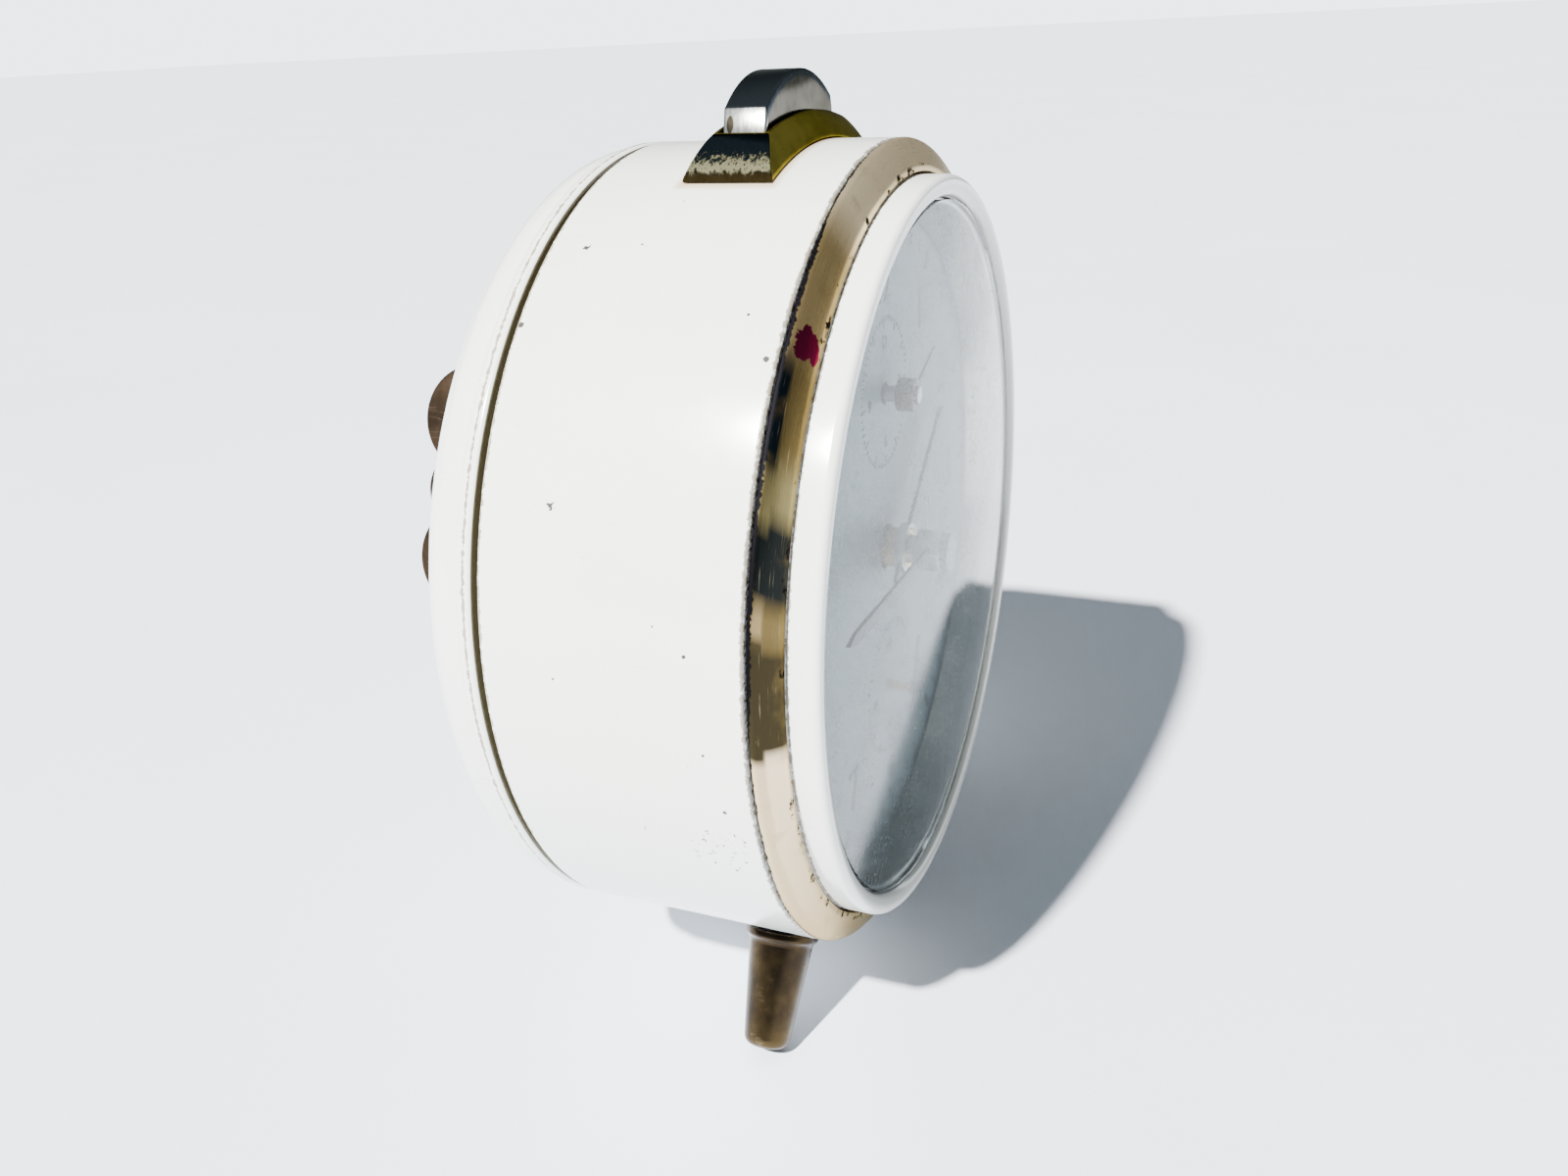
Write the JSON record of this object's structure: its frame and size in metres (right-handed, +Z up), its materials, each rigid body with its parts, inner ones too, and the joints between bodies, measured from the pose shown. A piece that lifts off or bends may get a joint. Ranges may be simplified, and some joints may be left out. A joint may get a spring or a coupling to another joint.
{
  "type": "wind-up alarm clock",
  "caption": "Round mechanical alarm clock on splayed feet, with a press button on top, winding keys and setting knobs at the back, and its movement inside.",
  "frame": {"origin": "centre of the bounding box's base, on the table under the clock", "axes": "+Z up, the dial faces -Y, +X to the right of someone reading the dial"},
  "size_m": [0.09, 0.058, 0.1023],
  "materials": {
    "white_enamel": "gloss enamel with small chips",
    "brass": "polished, tarnished in places",
    "aged_brass": "dark tarnished brass",
    "nickel": "worn nickel plate",
    "steel": "plain",
    "blued_steel": "blued",
    "glass": "clear domed, fine scratches",
    "dial_paint": "satin",
    "black_paint": "gloss",
    "brown_plastic": "worn moulded"
  },
  "bodies": {
    "case": {"case_band": "white_enamel", "trim_ring": "brass", "front_bezel": "white_enamel", "crystal": "glass", "dial_ring": "nickel", "dial": "dial_paint", "back_cover": "white_enamel", "button_base": "aged_brass", "button_spring": "steel", "stem_guide": "steel", "front_foot_left": "aged_brass", "front_foot_right": "aged_brass", "rear_foot": "aged_brass", "foot_nut_left": "steel", "foot_nut_right": "steel", "foot_nut_rear": "steel", "front_plate": "brass", "back_plate": "brass", "pillar_1": "steel", "pillar_2": "steel", "pillar_3": "steel", "pillar_4": "steel", "cover_screw_1": "nickel", "cover_screw_2": "nickel", "cover_screw_3": "nickel", "cover_screw_4": "nickel", "time_mainspring": "blued_steel", "alarm_mainspring": "blued_steel"},
    "alarm_button": {"alarm_button": "nickel", "button_stem": "steel"},
    "alarm_stop_lever": {"alarm_stop_lever": "steel"},
    "seconds": {"fourth_wheel": "brass", "second_hand": "black_paint"},
    "centre": {"centre_wheel": "brass", "cannon_pinion": "steel", "minute_hand": "black_paint", "hand_setting_knob": "brown_plastic"},
    "third": {"third_wheel": "brass"},
    "escape": {"escape_wheel": "brass"},
    "time_great": {"time_great_wheel": "brass"},
    "minute": {"minute_wheel": "brass"},
    "hour": {"hour_wheel": "brass", "hour_hand": "black_paint"},
    "alarm_wheel": {"alarm_wheel": "brass"},
    "alarm_set": {"alarm_arbor": "steel", "alarm_hand": "black_paint", "alarm_setting_knob": "brown_plastic"},
    "time_winding": {"time_winding_arbor": "steel", "time_ratchet": "steel", "time_winding_key": "aged_brass"},
    "alarm_winding": {"alarm_winding_arbor": "steel", "alarm_ratchet": "steel", "alarm_winding_key": "aged_brass"},
    "alarm_great": {"alarm_great_wheel": "brass"},
    "alarm_escape": {"alarm_escape_wheel": "brass"},
    "hammer": {"alarm_hammer": "steel"},
    "pallet": {"pallet_lever": "steel"},
    "balance": {"balance_wheel": "brass", "hairspring": "blued_steel"},
    "regulator": {"regulator_lever": "brass"}
  },
  "joints": [
    {"name": "seconds_turn", "type": "hinge", "parent": "case", "child": "seconds", "pos_m": [0, -0.02177, 0.032], "axis": [0, -1, 0], "continuous": true},
    {"name": "minute_hand_turn", "type": "hinge", "parent": "case", "child": "centre", "pos_m": [0, -0.02177, 0.0503], "axis": [0, -1, 0], "continuous": true},
    {"name": "third_wheel_turn", "type": "hinge", "parent": "case", "child": "third", "pos_m": [0.0091, -0.02177, 0.04019], "axis": [0, -1, 0], "continuous": true},
    {"name": "escape_wheel_turn", "type": "hinge", "parent": "case", "child": "escape", "pos_m": [-0.00964, -0.02177, 0.02602], "axis": [0, -1, 0], "continuous": true},
    {"name": "time_great_wheel_turn", "type": "hinge", "parent": "case", "child": "time_great", "pos_m": [-0.018, -0.02177, 0.06003], "axis": [0, -1, 0], "continuous": true},
    {"name": "minute_wheel_turn", "type": "hinge", "parent": "case", "child": "minute", "pos_m": [0.00876, -0.02177, 0.04295], "axis": [0, -1, 0], "continuous": true},
    {"name": "hour_hand_turn", "type": "hinge", "parent": "case", "child": "hour", "pos_m": [0, -0.02177, 0.0503], "axis": [0, -1, 0], "continuous": true},
    {"name": "alarm_wheel_turn", "type": "hinge", "parent": "case", "child": "alarm_wheel", "pos_m": [0, -0.02177, 0.0686], "axis": [0, -1, 0], "continuous": true},
    {"name": "alarm_set_turn", "type": "hinge", "parent": "case", "child": "alarm_set", "pos_m": [0, -0.02177, 0.0686], "axis": [0, -1, 0], "continuous": true},
    {"name": "time_winding_turn", "type": "hinge", "parent": "case", "child": "time_winding", "pos_m": [-0.018, -0.02177, 0.06003], "axis": [0, -1, 0], "continuous": true},
    {"name": "alarm_winding_turn", "type": "hinge", "parent": "case", "child": "alarm_winding", "pos_m": [0.018, -0.02177, 0.06003], "axis": [0, -1, 0], "continuous": true},
    {"name": "alarm_great_wheel_turn", "type": "hinge", "parent": "case", "child": "alarm_great", "pos_m": [0.018, -0.02177, 0.06003], "axis": [0, -1, 0], "continuous": true},
    {"name": "alarm_escape_wheel_turn", "type": "hinge", "parent": "case", "child": "alarm_escape", "pos_m": [0.022, -0.02177, 0.04185], "axis": [0, -1, 0], "continuous": true},
    {"name": "hammer_swing", "type": "hinge", "parent": "case", "child": "hammer", "pos_m": [0.024, -0.02177, 0.03304], "axis": [0, -1, 0], "range_deg": [-4, 2.5]},
    {"name": "pallet_swing", "type": "hinge", "parent": "case", "child": "pallet", "pos_m": [-0.0155, -0.02177, 0.02966], "axis": [0, -1, 0], "range_deg": [-5, 5]},
    {"name": "balance_swing", "type": "hinge", "parent": "case", "child": "balance", "pos_m": [-0.023, -0.02177, 0.0343], "axis": [0, -1, 0], "range_deg": [-150, 150], "stiffness_Nm_per_rad": 0.000004},
    {"name": "regulator_swing", "type": "hinge", "parent": "case", "child": "regulator", "pos_m": [-0.023, -0.02177, 0.0343], "axis": [0, -1, 0], "range_deg": [-20, 20]},
    {"name": "alarm_button_press", "type": "slide", "parent": "case", "child": "alarm_button", "axis": [0, 0, -1], "range_m": [0, 0.002], "stiffness_N_per_m": 400, "springref_m": -0.002, "deforming": ["button_spring"]},
    {"name": "stop_lever_swing", "type": "hinge", "parent": "case", "child": "alarm_stop_lever", "pos_m": [0.008, -0.02177, 0.0757], "axis": [0, -1, 0], "range_deg": [0, 15]}
  ],
  "couplings": [
    {"joint": "third_wheel_turn", "follows": "seconds_turn", "ratio": -0.125},
    {"joint": "minute_hand_turn", "follows": "seconds_turn", "ratio": 0.016667},
    {"joint": "escape_wheel_turn", "follows": "seconds_turn", "ratio": -8},
    {"joint": "time_great_wheel_turn", "follows": "seconds_turn", "ratio": -0.0027778},
    {"joint": "minute_wheel_turn", "follows": "seconds_turn", "ratio": -0.0055556},
    {"joint": "hour_hand_turn", "follows": "seconds_turn", "ratio": 0.0013889},
    {"joint": "alarm_wheel_turn", "follows": "seconds_turn", "ratio": -0.0013889},
    {"joint": "alarm_escape_wheel_turn", "follows": "alarm_great_wheel_turn", "ratio": -6},
    {"joint": "stop_lever_swing", "follows": "alarm_button_press", "rad_per_m": 125}
  ]
}
